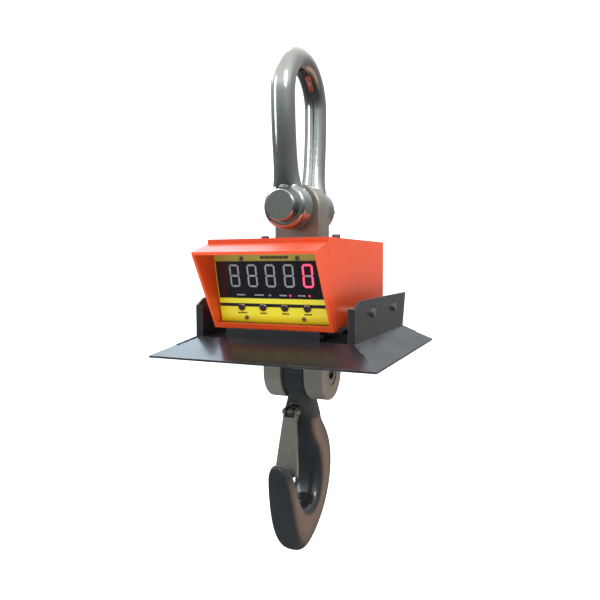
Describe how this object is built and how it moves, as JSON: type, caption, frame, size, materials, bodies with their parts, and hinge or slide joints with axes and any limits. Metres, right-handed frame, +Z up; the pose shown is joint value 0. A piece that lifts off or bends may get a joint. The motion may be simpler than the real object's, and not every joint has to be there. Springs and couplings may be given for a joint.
{
  "type": "crane scale",
  "caption": "Hanging electronic crane scale with bow shackle, load cell, orange display housing with hood, black heat shield and latched swivel-free safety hook.",
  "frame": {"origin": "the seat inside the shackle's crown, where the crane's hook bears", "axes": "+Z up along the load line; the display faces -Y; +X is to the right of someone reading the display; the shackle's pin lies along Y and the hook's pin along X"},
  "size_m": [0.345, 0.3479, 0.7854],
  "materials": {
    "polished_steel": "polished stainless steel",
    "cell_steel": "machined and polished stainless steel",
    "bronze": "turned bronze",
    "cover_steel": "brushed",
    "brass": "nickel-free brass",
    "orange_paint": "satin orange powder coat",
    "dark_steel": "blackened steel",
    "seal_rubber": "matt black",
    "printed_face": "yellow and black printed face",
    "dark_window": "smoked acrylic",
    "circuit_board": "green solder mask",
    "digit_body": "dark grey moulding",
    "led_lens": "red lens",
    "button_metal": "polished domed metal",
    "black_plastic": "black moulding",
    "battery_case": "grey moulding",
    "tray_zinc": "zinc plated",
    "black_paint": "semi-gloss black enamel",
    "hook_paint": "gloss black enamel on forged steel",
    "latch_zinc": "zinc plated pressed sheet"
  },
  "bodies": {
    "shackle": {"shackle_bow": "polished_steel", "shackle_pin": "polished_steel", "shackle_nut": "polished_steel", "shackle_cotter": "polished_steel"},
    "scale": {"hook_pin": "polished_steel", "hook_pin_ring_left": "polished_steel", "hook_pin_ring_right": "polished_steel", "load_cell": "cell_steel", "lug_bush": "bronze", "gauge_cover_front": "cover_steel", "gauge_cover_rear": "cover_steel", "cell_cable_gland": "brass", "housing_shell": "orange_paint", "front_visor": "orange_paint", "rear_cover": "orange_paint", "base_plate": "dark_steel", "flange_bolts": "dark_steel", "top_bolts": "dark_steel", "shield_side_bolts": "dark_steel", "panel_screws": "dark_steel", "rear_screws": "dark_steel", "lug_seal": "seal_rubber", "display_panel": "printed_face", "display_window": "dark_window", "display_board": "circuit_board", "main_board": "circuit_board", "digit_1": "digit_body", "digit_2": "digit_body", "digit_3": "digit_body", "digit_4": "digit_body", "digit_5": "digit_body", "indicator_leds": "led_lens", "button_switches": "black_plastic", "charging_socket": "black_plastic", "power_switch_body": "black_plastic", "battery": "battery_case", "battery_tray": "tray_zinc", "board_bracket": "tray_zinc", "board_standoffs": "tray_zinc", "shield_spacers": "tray_zinc", "shield_front_wing": "black_paint", "shield_rear_wing": "black_paint", "shield_left_side": "black_paint", "shield_right_side": "black_paint", "shield_floor": "black_paint"},
    "hook": {"hook": "hook_paint", "latch_pin": "latch_zinc"},
    "latch": {"latch": "latch_zinc", "latch_spring": "latch_zinc"},
    "rocker": {"power_rocker": "black_plastic"},
    "button_1": {"button_1": "button_metal"},
    "button_2": {"button_2": "button_metal"},
    "button_3": {"button_3": "button_metal"},
    "button_4": {"button_4": "button_metal"}
  },
  "joints": [
    {"name": "shackle_swing", "type": "hinge", "parent": "shackle", "child": "scale", "pos_m": [0, 0.005, -0.21], "axis": [0, 1, 0], "range_deg": [-90, 90]},
    {"name": "hook_swing", "type": "hinge", "parent": "scale", "child": "hook", "pos_m": [0, 0.005, -0.467], "axis": [1, 0, 0], "range_deg": [-55, 60]},
    {"name": "latch_open", "type": "hinge", "parent": "hook", "child": "latch", "pos_m": [0, -0.04166, -0.52452], "axis": [1, 0, 0], "range_deg": [0, 34], "stiffness_Nm_per_rad": 0.2, "springref_deg": -45.84},
    {"name": "button_1_press", "type": "slide", "parent": "scale", "child": "button_1", "axis": [0, 0.977, 0.213], "range_m": [0, 0.001], "stiffness_N_per_m": 600, "springref_m": -0.002},
    {"name": "button_2_press", "type": "slide", "parent": "scale", "child": "button_2", "axis": [0, 0.977, 0.213], "range_m": [0, 0.001], "stiffness_N_per_m": 600, "springref_m": -0.002},
    {"name": "button_3_press", "type": "slide", "parent": "scale", "child": "button_3", "axis": [0, 0.977, 0.213], "range_m": [0, 0.001], "stiffness_N_per_m": 600, "springref_m": -0.002},
    {"name": "button_4_press", "type": "slide", "parent": "scale", "child": "button_4", "axis": [0, 0.977, 0.213], "range_m": [0, 0.001], "stiffness_N_per_m": 600, "springref_m": -0.002},
    {"name": "power_switch_tilt", "type": "hinge", "parent": "scale", "child": "rocker", "pos_m": [-0.053, 0.1374, -0.352], "axis": [1, 0, 0], "range_deg": [-8, 8]}
  ]
}
